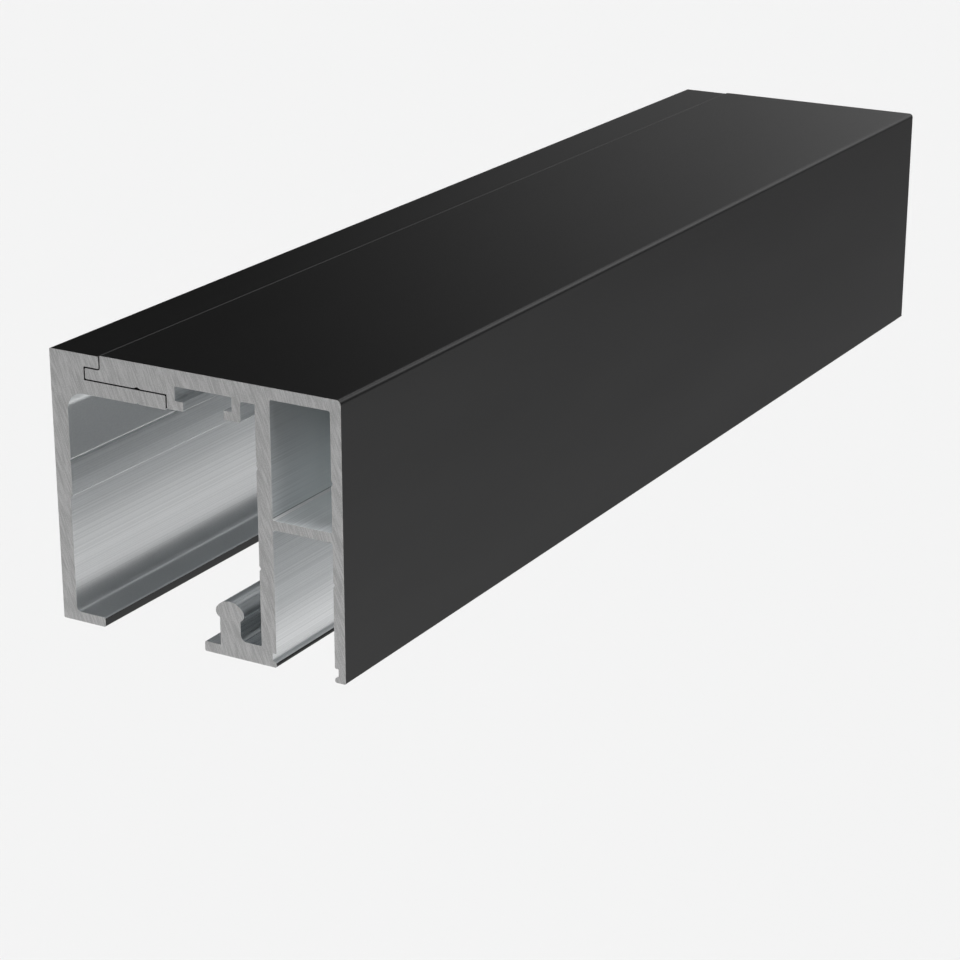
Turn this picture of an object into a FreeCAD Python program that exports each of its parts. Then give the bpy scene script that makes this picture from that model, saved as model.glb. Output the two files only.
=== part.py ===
import FreeCAD, Part
import math
import os

# Sliding door track in two extrusions, cut to a short length.
# The track profile is a top plate, a fascia, and an inner wall that carries the running rail at its
# foot. Fascia and inner wall form a pocket for a fixed pane, and the plate has a slot for stops
# on its underside. The cover profile closes the other side: its groove grips the edge of the
# plate, and its long tongue lies under the plate, where screws hold it.
#
# Frame, in millimetres: X across the section with the fascia at +X, Y along the extrusion, Z up.
# The origin is at the middle of the underside. Each extrusion is one outline, walked round from
# feature to feature, and pushed through the whole length.

# Whole section
length = 295.0
profile_height = 59.0
joint_gap = 0.3
cover_drop = 0.25

# Track, widths from the fascia's outer face inwards
fascia_wall = 2.5
pocket_width = 13.9
inner_wall = 3.5
side_channel_width = 3.45
slot_leg = 2.0
slot_width = 13.65
slot_mouth = 9.7
plate_overhang = 16.3
hook_reach = 3.85

# Track, depths from its top face down
chamber_roof = 2.5
side_channel_roof = 4.0
slot_roof = 3.45
slot_height = 3.05
slot_lip = 1.9
hook_thickness = 2.3
web_depth = 27.45
web_thickness = 2.0

# Track foot and running rail
base_thickness = 4.0
flange_thickness = 2.15
flange_reach = 3.95
rail_offset = 7.55
rail_height = 12.05
rail_stem = 5.0
head_overhang = 0.94
head_shoulder_radius = 1.5
head_crown_rise = 0.93

# Gasket grooves at the mouth of the pocket
gasket_nose = 0.9
gasket_ramp = 0.5
gasket_seat = 1.6
fascia_groove_depth = 0.84
inner_groove_depth = 0.93

# Cover
cover_lip = 2.6
cover_body = 8.55
tongue_thickness = 3.0
cover_wall = 4.0
cover_lower_wall = 3.5
cover_step_depth = 31.4
cover_foot = 2.1
cover_foot_reach = 10.85

# Drill lines, the shallow V grooves that centre a drill
upper_line_rise = 10.25
lower_line_drop = 8.8
wall_line_width = 1.05
wall_line_cut = 0.35
plate_line_offset = 7.25
plate_line_width = 1.6
plate_line_cut = 0.33
cover_line_rise = 7.85
cover_line_width = 0.7
cover_line_cut = 0.25
line_rim_radius = 0.5

# Corner radii
fascia_corner_radius = 1.0
edge_radius = 0.3
seam_edge_radius = 0.35
lip_corner_radius = 0.4
nose_radius = 0.4
seat_radius = 0.15
chamber_corner_radius = 0.4
channel_corner_radius = 0.3
leg_root_radius = 0.5
stem_root_radius = 1.4
cover_cavity_radius = 4.0
cover_step_radius = 0.3
cover_foot_radius = 1.0

# What a station has in place of a radius, where the corner is sharp or an arc passes through it
SHARP = 0
THROUGH = None

# The share of an edge that the rounds at its two ends take together, at most
LARGEST_ROUND = 0.9

# Directions in the section
UP = (0, 1)
DOWN = (0, -1)
LEFT = (-1, 0)
RIGHT = (1, 0)

# Faces across the section, from the fascia on the right to the cover on the left
track_width = (
    fascia_wall + pocket_width + inner_wall + side_channel_width
    + slot_leg + slot_width + slot_leg + plate_overhang + hook_reach
)
overall_width = track_width + joint_gap + cover_body
fascia_face = overall_width / 2
pocket_right = fascia_face - fascia_wall
pocket_left = pocket_right - pocket_width
cavity_right = pocket_left - inner_wall
near_leg_face = cavity_right - side_channel_width
slot_right = near_leg_face - slot_leg
slot_left = slot_right - slot_width
far_leg_face = slot_left - slot_leg
plate_end = far_leg_face - plate_overhang
hook_tip = plate_end - hook_reach
plate_line = far_leg_face - plate_line_offset
cover_face = -overall_width / 2

# Levels, upwards from the cover's underside
cover_top = profile_height
track_foot = cover_drop
track_top = track_foot + profile_height
cover_lip_level = cover_top - cover_lip
hook_level = cover_lip_level - joint_gap
plate_underside = hook_level - hook_thickness
tongue_level = plate_underside - joint_gap
tongue_underside = tongue_level - tongue_thickness
base_level = track_foot + base_thickness
web_top = track_top - web_depth
web_underside = web_top - web_thickness
upper_line = web_top + upper_line_rise
lower_line = web_underside - lower_line_drop


def point(x, z):
    """A point of the section at the near end of the extrusion."""
    return FreeCAD.Vector(x, -length / 2, z)


def room_towards(corner, neighbour, neighbour_radius):
    """How far a corner's round may reach along the edge to a neighbour, which may need half the edge."""
    share = LARGEST_ROUND if neighbour_radius == SHARP else LARGEST_ROUND / 2
    return share * corner.distanceToPoint(neighbour)


def rounded_corner(before, corner, after, radius, room):
    """Start, middle and end of the arc that rounds a corner, or the bare corner three times."""
    if radius == SHARP:
        return corner, corner, corner
    to_before = before - corner
    to_after = after - corner
    half_angle = to_before.getAngle(to_after) / 2
    reach = min(radius / math.tan(half_angle), room)
    to_before.normalize()
    to_after.normalize()
    bisector = (to_before + to_after).normalize()
    depth = reach / math.cos(half_angle) - reach * math.tan(half_angle)
    return corner + to_before * reach, corner + bisector * depth, corner + to_after * reach


def closed_wire(stations):
    """A closed wire through stations (x, z, radius), each corner rounded by its radius."""
    corners = []
    arc_points = {}
    for x, z, radius in stations:
        if radius is THROUGH:
            arc_points[len(corners)] = point(x, z)
        else:
            corners.append((point(x, z), radius))

    rounds = []
    for index, (corner, radius) in enumerate(corners):
        before, radius_before = corners[index - 1]
        after, radius_after = corners[(index + 1) % len(corners)]
        room = min(room_towards(corner, before, radius_before), room_towards(corner, after, radius_after))
        rounds.append(rounded_corner(before, corner, after, radius, room))

    edges = []
    for index, (start, middle, end) in enumerate(rounds):
        if corners[index][1] != SHARP:
            edges.append(Part.Arc(start, middle, end).toShape())
        following = rounds[(index + 1) % len(rounds)][0]
        if index + 1 in arc_points:
            edges.append(Part.Arc(end, arc_points[index + 1], following).toShape())
        else:
            edges.append(Part.LineSegment(end, following).toShape())
    return Part.Wire(edges)


def extrusion(outline, *hollows):
    """A solid of the whole length, with this outline and with hollows that run through it."""
    section = Part.Face([closed_wire(outline), *(closed_wire(hollow) for hollow in hollows)])
    return section.extrude(FreeCAD.Vector(0, length, 0))


def drill_line(x, z, along, into, width, cut):
    """The three stations of a V groove at (x, z), met while walking along, cut into the metal."""
    half = width / 2
    return [
        (x - along[0] * half, z - along[1] * half, line_rim_radius),
        (x + into[0] * cut, z + into[1] * cut, SHARP),
        (x + along[0] * half, z + along[1] * half, line_rim_radius),
    ]


def wall_line(x, level):
    """A drill line in a track wall's face towards the cover, walked upwards."""
    return drill_line(x, level, UP, RIGHT, wall_line_width, wall_line_cut)


def gasket_groove(face, depth):
    """The nose and the groove that hold a gasket, walked upwards from the pocket's mouth.

    face is the X of the pocket's wall, and depth how far the groove goes, signed towards the metal.
    """
    nose_level = track_foot + gasket_nose
    seat_foot = nose_level + gasket_ramp
    seat_top = seat_foot + gasket_seat
    return [
        (face, track_foot, nose_radius),
        (face, nose_level, nose_radius),
        (face + depth, seat_foot, seat_radius),
        (face + depth, seat_top, seat_radius),
        (face, seat_top, edge_radius),
    ]


def pocket():
    """The fixed pane's pocket: up the fascia, across under the web and down the inner wall."""
    return [
        *gasket_groove(pocket_right, fascia_groove_depth),
        *wall_line(pocket_right, lower_line),
        (pocket_right, web_underside, chamber_corner_radius),
        (pocket_left, web_underside, chamber_corner_radius),
        *reversed(gasket_groove(pocket_left, -inner_groove_depth)),
    ]


def rail_head(rail_middle, head_top):
    """The crowned rail head, from its neck on the left over to its neck on the right.

    Two shoulder arcs overhang the stem, and a flatter crown arc joins them without a break.
    """
    half_stem = rail_stem / 2
    widest = half_stem + head_overhang
    shoulder_offset = widest - head_shoulder_radius
    shoulder_level = head_top - head_crown_rise - head_shoulder_radius
    shoulder_rise = head_crown_rise + head_shoulder_radius
    crown_radius = (
        (shoulder_offset**2 + shoulder_rise**2 - head_shoulder_radius**2) / (2 * head_crown_rise)
    )
    crown_level = head_top - crown_radius
    blend_angle = math.atan2(shoulder_level - crown_level, shoulder_offset)
    blend_offset = shoulder_offset + head_shoulder_radius * math.cos(blend_angle)
    blend_level = shoulder_level + head_shoulder_radius * math.sin(blend_angle)
    neck_angle = math.acos(1 - head_overhang / head_shoulder_radius)
    neck_level = shoulder_level - head_shoulder_radius * math.sin(neck_angle)
    return [
        (rail_middle - half_stem, neck_level, SHARP),
        (rail_middle - widest, shoulder_level, THROUGH),
        (rail_middle - blend_offset, blend_level, SHARP),
        (rail_middle, head_top, THROUGH),
        (rail_middle + blend_offset, blend_level, SHARP),
        (rail_middle + widest, shoulder_level, THROUGH),
        (rail_middle + half_stem, neck_level, SHARP),
    ]


def foot_and_rail():
    """The track's foot flange, and the rail that the rollers run on."""
    rail_middle = cavity_right - rail_offset
    stem_left = rail_middle - rail_stem / 2
    stem_right = rail_middle + rail_stem / 2
    flange_end = stem_left - flange_reach
    flange_level = track_foot + flange_thickness
    return [
        (flange_end, track_foot, edge_radius),
        (flange_end, flange_level, edge_radius),
        (stem_left, flange_level, SHARP),
        *rail_head(rail_middle, track_foot + rail_height),
        (stem_right, base_level, stem_root_radius),
    ]


def cavity_side_of_inner_wall():
    """The inner wall's face towards the rollers, up into the narrow channel beside the slot."""
    channel_roof = track_top - side_channel_roof
    return [
        (cavity_right, base_level, channel_corner_radius),
        *wall_line(cavity_right, lower_line),
        *wall_line(cavity_right, upper_line),
        (cavity_right, channel_roof, channel_corner_radius),
        (near_leg_face, channel_roof, leg_root_radius),
    ]


def stop_slot():
    """The slot under the plate that takes the stops: two legs with lips that turn inwards."""
    slot_middle = (slot_right + slot_left) / 2
    mouth_right = slot_middle + slot_mouth / 2
    mouth_left = slot_middle - slot_mouth / 2
    roof = track_top - slot_roof
    lip_top = roof - slot_height
    lip_foot = lip_top - slot_lip
    return [
        (near_leg_face, lip_foot, lip_corner_radius),
        (mouth_right, lip_foot, edge_radius),
        (mouth_right, lip_top, SHARP),
        (slot_right, lip_top, SHARP),
        (slot_right, roof, SHARP),
        (slot_left, roof, SHARP),
        (slot_left, lip_top, SHARP),
        (mouth_left, lip_top, SHARP),
        (mouth_left, lip_foot, edge_radius),
        (far_leg_face, lip_foot, lip_corner_radius),
    ]


def plate_edge():
    """The plate's free edge: its underside, the hook that the cover grips, and the ledge above."""
    return [
        (far_leg_face, plate_underside, SHARP),
        *drill_line(plate_line, plate_underside, LEFT, UP, plate_line_width, plate_line_cut),
        (hook_tip, plate_underside, edge_radius),
        (hook_tip, hook_level, edge_radius),
        (plate_end, hook_level, edge_radius + joint_gap),
        (plate_end, track_top, edge_radius),
    ]


def upper_chamber():
    """The closed chamber over the pocket."""
    roof = track_top - chamber_roof
    return [
        (pocket_right, web_top, chamber_corner_radius),
        *wall_line(pocket_right, upper_line),
        (pocket_right, roof, chamber_corner_radius),
        (pocket_left, roof, chamber_corner_radius),
        (pocket_left, web_top, chamber_corner_radius),
    ]


def track_profile():
    """The track, walked clockwise from the top corner of the fascia."""
    outline = [
        (fascia_face, track_top, fascia_corner_radius),
        (fascia_face, track_foot, edge_radius),
        *pocket(),
        *foot_and_rail(),
        *cavity_side_of_inner_wall(),
        *stop_slot(),
        *plate_edge(),
    ]
    return extrusion(outline, upper_chamber())


def cover_grip():
    """The cover's lip, the groove that grips the hook, and the tongue that reaches to the slot."""
    lip_end = plate_end - joint_gap
    groove_end = hook_tip - joint_gap
    tongue_tip = far_leg_face - joint_gap
    return [
        (lip_end, cover_top, seam_edge_radius),
        (lip_end, cover_lip_level, edge_radius),
        (groove_end, cover_lip_level, edge_radius),
        (groove_end, tongue_level, SHARP),
        (tongue_tip, tongue_level, edge_radius),
        (tongue_tip, tongue_underside, edge_radius),
        *drill_line(plate_line, tongue_underside, LEFT, UP, wall_line_width, wall_line_cut),
    ]


def cover_inside():
    """The cover's side towards the rollers, from the tongue's root down to the thinner wall."""
    upper_face = cover_face + cover_wall
    lower_face = cover_face + cover_lower_wall
    step_level = cover_top - cover_step_depth
    line_level = step_level + cover_line_rise
    return [
        (upper_face, tongue_underside, cover_cavity_radius),
        *drill_line(upper_face, line_level, DOWN, LEFT, cover_line_width, cover_line_cut),
        (upper_face, step_level, cover_step_radius),
        (lower_face, step_level, SHARP),
        (lower_face, cover_foot, cover_foot_radius),
    ]


def cover_profile():
    """The cover, walked clockwise from its outer top corner."""
    foot_end = cover_face + cover_foot_reach
    outline = [
        (cover_face, cover_top, edge_radius),
        *cover_grip(),
        *cover_inside(),
        (foot_end, cover_foot, edge_radius),
        (foot_end, 0, lip_corner_radius),
        (cover_face, 0, edge_radius),
    ]
    return extrusion(outline)


os.makedirs("parts", exist_ok=True)
for name, solid in (("track_profile", track_profile()), ("cover_profile", cover_profile())):
    solid.exportStep(f"parts/{name}.step")
    box = solid.BoundBox
    print(name, "valid", solid.isValid(), "volume", round(solid.Volume), "mm3")
    print("  x", round(box.XMin, 2), round(box.XMax, 2), "z", round(box.ZMin, 2), round(box.ZMax, 2))
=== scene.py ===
import math

import bpy
from mathutils import Matrix, Vector


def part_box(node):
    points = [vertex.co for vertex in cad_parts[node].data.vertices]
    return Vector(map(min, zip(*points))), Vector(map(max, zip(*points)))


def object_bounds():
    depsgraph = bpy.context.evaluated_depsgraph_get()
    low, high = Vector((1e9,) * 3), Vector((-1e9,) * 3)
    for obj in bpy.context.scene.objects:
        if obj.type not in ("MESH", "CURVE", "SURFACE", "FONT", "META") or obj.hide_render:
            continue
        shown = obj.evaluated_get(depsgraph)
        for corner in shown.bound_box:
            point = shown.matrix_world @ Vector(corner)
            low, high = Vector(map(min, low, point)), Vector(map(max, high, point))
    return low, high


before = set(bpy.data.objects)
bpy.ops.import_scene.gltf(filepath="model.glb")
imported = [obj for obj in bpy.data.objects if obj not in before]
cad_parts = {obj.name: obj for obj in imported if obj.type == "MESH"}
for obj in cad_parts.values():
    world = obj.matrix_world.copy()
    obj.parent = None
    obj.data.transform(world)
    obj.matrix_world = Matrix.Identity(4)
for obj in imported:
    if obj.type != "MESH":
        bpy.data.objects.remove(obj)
cad_low, cad_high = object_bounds()

# Two-part sliding door track section. The imported track and cover keep their own meshes, and each face
# gets its finish by its place and the way it faces: a satin black coat outside, painted shade in the
# joint, bare aluminium inside, which is brushed, polished or matt with painted shade and a painted
# highlight, and sawn ends.

MM = 0.001
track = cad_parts["track_profile"]
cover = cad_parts["cover_profile"]
track_low, track_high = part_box("track_profile")
cover_low, cover_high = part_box("cover_profile")

# Camera, fitted to the photo's view of the section's near and far ends
CAMERA_AZIMUTH = math.radians(30)
CAMERA_ELEVATION = math.radians(20)
CAMERA_PLACE = Vector((0.29804, -0.55022, 0.21809))
CAMERA_LENS = 100

# Places in the section that bound the finishes, with x across from its middle and z up from its foot
FACE_SKIN = 0.6 * MM
FASCIA_CORNER = 1.1 * MM
NOSE_HEIGHT = 0.95 * MM
NOSE_LEFT = 15.1 * MM
CHAMBER_LEFT = 18.5 * MM
CHAMBER_FLOOR = 31.7 * MM
ROUND_TOP = 32.15 * MM
ROUND_RIGHT = 19.05 * MM
FLANGE = 2.15 * MM
FLANGE_END = 1.1 * MM
COVER_FOOT = 2.1 * MM
FOOT_END = -24.15 * MM
JOINT_END = -5.9 * MM
JOINT_DEPTH = 8.0 * MM
SEAM_ROUND = 0.4 * MM
RAIL_LEFT = 3.9 * MM
RAIL_TOP = 13.0 * MM
RAIL_RIGHT = 15.05 * MM

# How far a face's normal must lean to count as facing that way
END_FACING = 0.5
COAT_FACING = 0.2
UPRIGHT_FACING = 0.95

# Sizes within the finishes
COAT_GRAIN = 0.2 * MM
BUMP_DEPTH = 0.02 * MM
SAW_BUMP_DEPTH = 0.05 * MM
CHIPPED_REACH = 0.35 * MM
# Painted shade in the chamber: how far it reaches in from the cut ends, the heights over which it darkens
# under the plate, and the height of its thin dark line over the round
END_SHADE_REACH = 16 * MM
PLATE_SHADE_FOOT = 36 * MM
PLATE_SHADE_TOP = 57 * MM
DARK_LINE_HEIGHT = 0.3 * MM
SAW_SLANT = math.radians(-21)

# Lowest and highest place of the drawing lines, and the height over which they fade
WALL_LINES = (-10 * MM, 80 * MM, 5 * MM)
COVER_LINES = (4 * MM, 37 * MM, 3 * MM)

# Studio
WHITE = (1, 1, 1, 1)
LIGHT_BOUNCES = 32
GLOSSY_BOUNCES = 24
FLOOR_DROP = 0.8
FLOOR_REACH = 15.0
# Floor colours: a painted pool of light under and behind the section, and the grey floor beyond it
FLOOR_POOL_OF_LIGHT = (0.777, 0.777, 0.777, 1)
FLOOR_BEYOND_POOL = (0.37, 0.37, 0.37, 1)


class Shader:
    """A material's or the world's node tree, with short calls to add nodes and join them."""

    def __init__(self, owner):
        owner.use_nodes = True
        self.tree = owner.node_tree
        self.tree.nodes.clear()

    def node(self, kind, inputs=None, **settings):
        """A new node with these settings. An input that is a socket is linked, any other is set."""
        node = self.tree.nodes.new(kind)
        for name, value in settings.items():
            setattr(node, name, value)
        for name, value in (inputs or {}).items():
            if isinstance(value, bpy.types.NodeSocket):
                self.tree.links.new(value, node.inputs[name])
            else:
                node.inputs[name].default_value = value
        return node

    def math(self, operation, a, b=0.0, clamp=False):
        """The result of a maths node on two numbers or sockets."""
        return self.node("ShaderNodeMath", {0: a, 1: b}, operation=operation, use_clamp=clamp).outputs[0]

    def remap(self, value, low, high, new_low, new_high):
        """value, taken from low..high to new_low..new_high with soft ends."""
        inputs = {"Value": value, "From Min": low, "From Max": high, "To Min": new_low, "To Max": new_high}
        return self.node("ShaderNodeMapRange", inputs, interpolation_type="SMOOTHSTEP").outputs[0]

    def noise(self, vector, scale, detail, roughness=0.5):
        """Smooth noise from 0 to 1, with detail finer layers."""
        inputs = {"Vector": vector, "Scale": scale, "Detail": detail, "Roughness": roughness}
        return self.node("ShaderNodeTexNoise", inputs).outputs["Fac"]

    def pattern(self, sizes, rotation=(0, 0, 0)):
        """Coordinates for a pattern with features of these sizes in metres along its turned axes."""
        place = self.node("ShaderNodeTexCoord").outputs["Object"]
        inputs = {"Vector": place, "Scale": sizes, "Rotation": rotation}
        return self.node("ShaderNodeMapping", inputs, vector_type="TEXTURE").outputs[0]

    def blend(self, share, first, second):
        """A colour between two, by share of the second."""
        node = self.node("ShaderNodeMix", {"Factor": share}, data_type="RGBA")
        colours = [socket for socket in node.inputs if socket.type == "RGBA"]
        for socket, value in zip(colours, (first, second)):
            if isinstance(value, bpy.types.NodeSocket):
                self.tree.links.new(value, socket)
            else:
                socket.default_value = value
        return next(socket for socket in node.outputs if socket.type == "RGBA")

    def dot(self, first, second):
        """The dot product of two vectors."""
        inputs = {0: first, 1: second}
        return self.node("ShaderNodeVectorMath", inputs, operation="DOT_PRODUCT").outputs["Value"]

    def bump(self, height, strength, distance):
        """A normal that follows height, which is distance in metres at 1."""
        inputs = {"Height": height, "Strength": strength, "Distance": distance}
        return self.node("ShaderNodeBump", inputs).outputs[0]

    def surface(self, inputs):
        """Ends the tree in a Principled surface with these inputs."""
        principled = self.node("ShaderNodeBsdfPrincipled", inputs)
        self.node("ShaderNodeOutputMaterial", {"Surface": principled.outputs[0]})


def cut_end_nearness(shader, reach):
    """1 at a cut end of the extrusion, down to 0 at reach inside it."""
    place = shader.node("ShaderNodeTexCoord").outputs["Object"]
    along = shader.node("ShaderNodeSeparateXYZ", {0: place}).outputs["Y"]
    distance = shader.math("ABSOLUTE", along)
    end = track_high.y
    return shader.remap(distance, end - reach, end, 0.0, 1.0)


def satin_black():
    """Satin black coat: a very fine grain, a faint drift of tone, thinner at the cut ends."""
    material = bpy.data.materials.new("satin_black")
    shader = Shader(material)
    darker, lighter = (0.056, 0.056, 0.0565, 1), (0.066, 0.066, 0.0665, 1)
    worn_edge = (0.16, 0.16, 0.16, 1)
    grain = shader.noise(shader.pattern((COAT_GRAIN, COAT_GRAIN, COAT_GRAIN)), 1.0, 3)
    drift = shader.noise(shader.pattern((16 * MM, 80 * MM, 16 * MM)), 1.0, 3)
    tone = shader.blend(drift, darker, lighter)
    chips = shader.noise(shader.pattern((0.4 * MM, 0.4 * MM, 0.4 * MM)), 1.0, 4)
    near_end = cut_end_nearness(shader, CHIPPED_REACH)
    thin = shader.math("MULTIPLY", near_end, shader.remap(chips, 0.5, 0.75, 0.0, 0.5))
    colour = shader.blend(thin, tone, worn_edge)
    roughness = shader.remap(grain, 0.3, 0.7, 0.28, 0.33)
    shader.surface({
        "Base Color": colour,
        "Metallic": 0.94,
        "Roughness": roughness,
        "Specular Tint": (0.5, 0.5, 0.5, 1),
        "Normal": shader.bump(grain, 0.06, BUMP_DEPTH),
    })
    return material


def joint_painted_shade():
    """Painted shade inside the joint: a much darker, duller black than the coat, with a fine grain."""
    material = bpy.data.materials.new("joint_painted_shade")
    shader = Shader(material)
    grain = shader.noise(shader.pattern((COAT_GRAIN, COAT_GRAIN, COAT_GRAIN)), 1.0, 3)
    wear = shader.noise(shader.pattern((3 * MM, 20 * MM, 3 * MM)), 1.0, 2)
    # Painted shade: near-black tones, far darker than the satin coat
    darker, lighter = (0.006, 0.006, 0.006, 1), (0.010, 0.010, 0.010, 1)
    shader.surface({
        "Base Color": shader.blend(wear, darker, lighter),
        "Metallic": 0.0,
        "Roughness": shader.remap(grain, 0.3, 0.7, 0.6, 0.75),
        "Specular IOR Level": 0.1,
        "Normal": shader.bump(grain, 0.06, BUMP_DEPTH),
    })
    return material


def drawn_lines(shader):
    """Fine lines along the extrusion, as the die leaves them, in a pattern with faint broad bands."""
    fine = shader.noise(shader.pattern((0.38 * MM, 3000 * MM, 0.38 * MM)), 1.0, 1, 0.5)
    broad = shader.noise(shader.pattern((1.6 * MM, 6000 * MM, 1.6 * MM)), 1.0, 1)
    return shader.math("ADD", shader.math("MULTIPLY", fine, 0.75), shader.math("MULTIPLY", broad, 0.25))


def lines_between(shader, lines, low, high, fade):
    """The lines at full strength between two heights, and even metal above and below them."""
    place = shader.node("ShaderNodeTexCoord").outputs["Object"]
    level = shader.node("ShaderNodeSeparateXYZ", {0: place}).outputs["Z"]
    under = shader.remap(level, high - fade, high, 1.0, 0.0)
    over = shader.remap(level, low, low + fade, 0.0, 1.0)
    swing = shader.math("SUBTRACT", lines, 0.5)
    strength = shader.math("MULTIPLY", under, over)
    return shader.math("ADD", shader.math("MULTIPLY", swing, strength), 0.5)


def brushed_aluminium(name, low, high, fade):
    """Bare aluminium with drawing lines along the extrusion, strongest between two heights."""
    material = bpy.data.materials.new(name)
    shader = Shader(material)
    lines = lines_between(shader, drawn_lines(shader), low, high, fade)
    grain = shader.noise(shader.pattern((0.3 * MM, 0.6 * MM, 0.3 * MM)), 1.0, 2)
    mixed = shader.math("ADD", shader.math("MULTIPLY", lines, 0.85), shader.math("MULTIPLY", grain, 0.15))
    tone = shader.remap(mixed, 0.38, 0.62, 0.0, 1.0)
    darker, lighter = (0.685, 0.70, 0.707, 1), (0.82, 0.832, 0.84, 1)
    shader.surface({
        "Base Color": shader.blend(tone, darker, lighter),
        "Metallic": 0.95,
        "Roughness": shader.remap(lines, 0.3, 0.7, 0.28, 0.31),
        "Anisotropic": 0.2,
        "Tangent": shader.node("ShaderNodeTangent", direction_type="RADIAL", axis="Y").outputs[0],
        "Normal": shader.bump(lines, 0.12, BUMP_DEPTH),
    })
    return material


def polished_aluminium():
    """Bare aluminium of the rail and the channel beside it, smoother than the brushed walls."""
    material = bpy.data.materials.new("polished_aluminium")
    shader = Shader(material)
    lines = drawn_lines(shader)
    tone = shader.remap(lines, 0.36, 0.64, 0.0, 1.0)
    darker, lighter = (0.66, 0.68, 0.69, 1), (0.80, 0.815, 0.825, 1)
    shader.surface({
        "Base Color": shader.blend(tone, darker, lighter),
        "Metallic": 1.0,
        "Roughness": shader.remap(lines, 0.3, 0.7, 0.15, 0.19),
        "Normal": shader.bump(lines, 0.1, BUMP_DEPTH),
    })
    return material


def mill_aluminium():
    """Bare aluminium in the closed chamber: matt, with painted shade near the cut ends and towards the top
    under the plate.

    The small round in the corner over the web carries a painted highlight, with a thin line of painted
    shade above it.
    """
    material = bpy.data.materials.new("mill_aluminium")
    shader = Shader(material)
    place = shader.node("ShaderNodeTexCoord").outputs["Object"]
    axes = shader.node("ShaderNodeSeparateXYZ", {0: place}).outputs
    lines = drawn_lines(shader)
    tone = shader.remap(lines, 0.36, 0.64, 0.0, 1.0)
    deep_tone = shader.blend(tone, (0.93, 0.96, 0.97, 1), (0.96, 0.985, 0.99, 1))
    # Painted shade: a darker tone near the cut ends, which evens out the light that falls in at the open
    # ends
    painted_end_shade = shader.blend(tone, (0.68, 0.705, 0.715, 1), (0.82, 0.845, 0.86, 1))
    with_end_shade = shader.blend(cut_end_nearness(shader, END_SHADE_REACH), deep_tone, painted_end_shade)
    # Painted shade: darker towards the top of the chamber, under the plate
    plate_shade_share = shader.remap(axes["Z"], PLATE_SHADE_FOOT, PLATE_SHADE_TOP, 0.0, 0.5)
    plate_shade, painted_dark_line, bright = (0.25, 0.26, 0.265, 1), (0.1, 0.1, 0.1, 1), (0.99, 0.99, 0.99, 1)
    colour = shader.blend(plate_shade_share, with_end_shade, plate_shade)
    # Painted shade: a thin dark line on the wall just above the round
    dark_line_top = ROUND_TOP + DARK_LINE_HEIGHT
    above_round = shader.remap(axes["Z"], ROUND_TOP, ROUND_TOP + DARK_LINE_HEIGHT / 6, 0.0, 0.5)
    below_wall = shader.remap(axes["Z"], dark_line_top - DARK_LINE_HEIGHT / 3, dark_line_top, 1.0, 0.0)
    with_dark_line = shader.blend(shader.math("MULTIPLY", above_round, below_wall), colour, painted_dark_line)
    # Painted highlight: the round over the web is a bright diffuse white instead of metal
    beside_wall = shader.math("LESS_THAN", axes["X"], ROUND_RIGHT)
    on_round = shader.math("MULTIPLY", beside_wall, shader.math("LESS_THAN", axes["Z"], ROUND_TOP))
    shader.surface({
        "Base Color": shader.blend(on_round, with_dark_line, bright),
        "Metallic": shader.remap(on_round, 0.0, 1.0, 0.6, 0.0),
        "Roughness": shader.remap(lines, 0.3, 0.7, 0.60, 0.70),
        "Specular IOR Level": 0.3,
        "Normal": shader.bump(lines, 0.12, BUMP_DEPTH),
    })
    return material


def sawn_aluminium():
    """Cut ends: slanting marks of the saw, fine over broad, and a fine grain."""
    material = bpy.data.materials.new("sawn_aluminium")
    shader = Shader(material)
    slant = (0, SAW_SLANT, 0)
    fine = shader.noise(shader.pattern((0.26 * MM, 0.26 * MM, 3.5 * MM), slant), 1.0, 1, 0.5)
    broad = shader.noise(shader.pattern((1.3 * MM, 1.3 * MM, 14 * MM), slant), 1.0, 2, 0.5)
    grain = shader.noise(shader.pattern((0.25 * MM, 0.25 * MM, 0.25 * MM)), 1.0, 2)
    marks = shader.math("ADD", shader.math("MULTIPLY", fine, 0.48), shader.math("MULTIPLY", broad, 0.10))
    mixed = shader.math("ADD", marks, shader.math("MULTIPLY", grain, 0.42))
    tone = shader.remap(mixed, 0.37, 0.63, 0.0, 1.0)
    darker, lighter = (0.375, 0.375, 0.375, 1), (0.54, 0.54, 0.54, 1)
    shader.surface({
        "Base Color": shader.blend(tone, darker, lighter),
        "Metallic": 0.8,
        "Roughness": shader.remap(mixed, 0.35, 0.65, 0.38, 0.48),
        "Normal": shader.bump(mixed, 0.25, SAW_BUMP_DEPTH),
    })
    return material


def in_joint(middle):
    """Whether a long face lies between the track's hook and the cover, under the rounded edges."""
    near_hook = middle.x < JOINT_END and middle.z > cover_high.z - JOINT_DEPTH
    return near_hook and middle.z < cover_high.z - SEAM_ROUND


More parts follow.
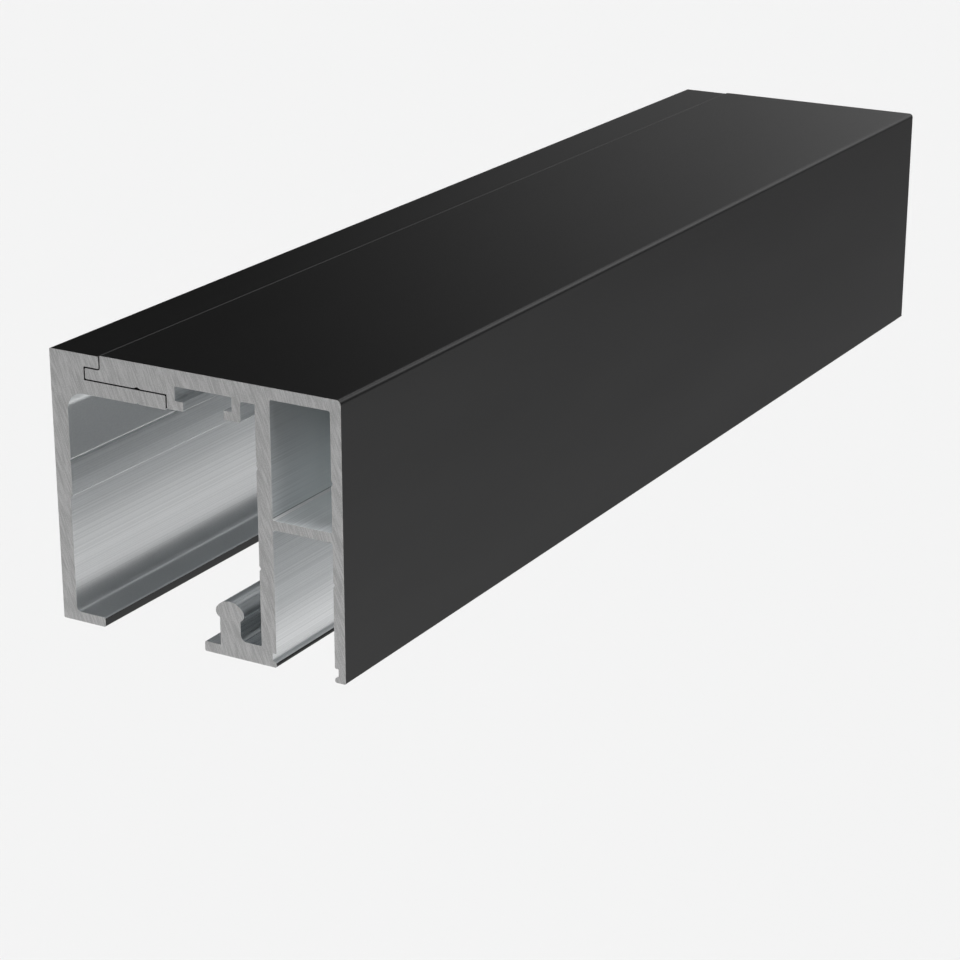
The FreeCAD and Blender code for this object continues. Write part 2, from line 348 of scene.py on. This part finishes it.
def is_black(node, middle, normal):
    """Whether a long face of the track or cover carries the black coat of the outside."""
    low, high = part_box(node.name)
    on_seam = middle.x < JOINT_END and middle.z > cover_high.z - SEAM_ROUND
    faces_up = middle.z > high.z - FACE_SKIN and normal.z > COAT_FACING
    faces_down = middle.z < low.z + FACE_SKIN and normal.z < -COAT_FACING
    if node == cover:
        on_back = middle.x < low.x + FACE_SKIN
        at_foot_end = middle.x > FOOT_END - FACE_SKIN and middle.z < COVER_FOOT
        foot_end = at_foot_end and normal.x > UPRIGHT_FACING
        return on_seam or faces_up or faces_down or on_back or foot_end
    on_fascia = middle.x > high.x - FASCIA_CORNER and normal.x > COAT_FACING
    on_nose = middle.z < low.z + NOSE_HEIGHT and middle.x > NOSE_LEFT
    at_flange_end = middle.x < FLANGE_END + FACE_SKIN and middle.z < low.z + FLANGE
    flange_end = at_flange_end and normal.x < -COAT_FACING
    return on_seam or faces_up or faces_down or on_fascia or on_nose or flange_end


def finish_of(node, face):
    """The name of a face's finish, by its place and the way it faces."""
    middle = face.center
    if abs(face.normal.y) > END_FACING:
        return "sawn"
    if is_black(node, middle, face.normal):
        return "black"
    # Faces in the joint get painted shade
    if in_joint(middle):
        return "joint"
    if middle.x > CHAMBER_LEFT and middle.z > CHAMBER_FLOOR:
        return "mill"
    if node == track and RAIL_LEFT < middle.x < RAIL_RIGHT and middle.z < RAIL_TOP:
        return "rail"
    return "cover_wall" if node == cover else "walls"


def dress(node, finishes):
    """Gives each face of a node its finish."""
    mesh = node.data
    mesh.materials.clear()
    for material in finishes.values():
        mesh.materials.append(material)
    order = list(finishes)
    for face in mesh.polygons:
        face.material_index = order.index(finish_of(node, face))


def make_floor():
    """A wide floor, well under the section, which hangs in the air as a ceiling track does.

    It carries a painted pool of light: palest under and behind the section, and darker far off to the
    right and in front.
    """
    bpy.ops.mesh.primitive_plane_add(size=2 * FLOOR_REACH, location=(0, 0, cad_low.z - FLOOR_DROP))
    floor = bpy.context.object
    floor.name = "studio_floor"
    material = bpy.data.materials.new("studio_floor")
    shader = Shader(material)
    place = shader.node("ShaderNodeTexCoord").outputs["Object"]
    axes = shader.node("ShaderNodeSeparateXYZ", {0: place}).outputs
    slanting = shader.math("ADD", axes["X"], shader.math("MULTIPLY", axes["Y"], 0.12))
    beside = shader.remap(slanting, 1.19, 2.09, 1.0, 0.0)
    behind = shader.remap(axes["Y"], -2.4, -1.4, 0.0, 1.0)
    # Painted pool of light, fading to grey far off to the right and in front
    colour = shader.blend(shader.math("MULTIPLY", beside, behind), FLOOR_BEYOND_POOL, FLOOR_POOL_OF_LIGHT)
    shader.surface({"Base Color": colour, "Roughness": 1.0, "Specular IOR Level": 0.0})
    floor.data.materials.append(material)


def direction(azimuth, elevation):
    """The unit vector at an angle round from +X and an angle above the horizon, in degrees."""
    a, e = math.radians(azimuth), math.radians(elevation)
    return Vector((math.cos(a) * math.cos(e), math.sin(a) * math.cos(e), math.sin(e)))


def light_studio():
    """Soft boxes far away, as smooth lobes of a dark surround."""
    world = bpy.data.worlds.new("studio")
    bpy.context.scene.world = world
    shader = Shader(world)
    towards = shader.node("ShaderNodeTexCoord").outputs["Generated"]
    total = 0.0
    boxes = (
        # azimuth, elevation, inner and outer half angle in degrees, brightness
        (0, 60, 5, 30, 2.85),
        (180, 60, 5, 30, 2.90),
        (240, 60, 5, 30, 0.50),
        (60, 30, 3, 25, 0.32),
        (180, 30, 3, 25, 3.80),
        (270, 30, 3, 25, 2.50),
        (105, 10, 2, 20, 0.20),
        (85, 14, 3, 30, 1.65),
        (110, 6, 2, 18, 0.37),
        (106, 41, 3, 16, 1.45),
        (73, 27, 2, 13, 0.90),
        (270, 12, 3, 18, 3.60),
    )
    for azimuth, elevation, inner, outer, brightness in boxes:
        facing = shader.dot(towards, direction(azimuth, elevation))
        lobe = shader.remap(
            facing, math.cos(math.radians(outer)), math.cos(math.radians(inner)), 0.0, brightness
        )
        total = shader.math("ADD", lobe, total)
    background = shader.node("ShaderNodeBackground", {"Color": WHITE, "Strength": total})
    shader.node("ShaderNodeOutputWorld", {"Surface": background.outputs[0]})


def make_camera():
    """The camera at the photo's place and angle."""
    data = bpy.data.cameras.new("camera")
    data.lens = CAMERA_LENS
    camera = bpy.data.objects.new("camera", data)
    bpy.context.scene.collection.objects.link(camera)
    back = Vector((
        math.sin(CAMERA_AZIMUTH) * math.cos(CAMERA_ELEVATION),
        -math.cos(CAMERA_AZIMUTH) * math.cos(CAMERA_ELEVATION),
        math.sin(CAMERA_ELEVATION),
    ))
    turn = (-back).to_track_quat("-Z", "Y").to_matrix().to_4x4()
    camera.matrix_world = Matrix.Translation(CAMERA_PLACE) @ turn
    bpy.context.scene.camera = camera


# The joint finish is painted shade, and the mill finish carries painted shade and a painted highlight
finishes = {
    "black": satin_black(),
    "joint": joint_painted_shade(),
    "walls": brushed_aluminium("brushed_aluminium", *WALL_LINES),
    "cover_wall": brushed_aluminium("brushed_cover", *COVER_LINES),
    "mill": mill_aluminium(),
    "rail": polished_aluminium(),
    "sawn": sawn_aluminium(),
}
dress(track, finishes)
dress(cover, finishes)
make_floor()
light_studio()
make_camera()
bpy.context.scene.view_settings.view_transform = "Standard"

# Light goes far into the bright metal hollows, by many reflections
bpy.context.scene.cycles.max_bounces = LIGHT_BOUNCES
bpy.context.scene.cycles.glossy_bounces = GLOSSY_BOUNCES
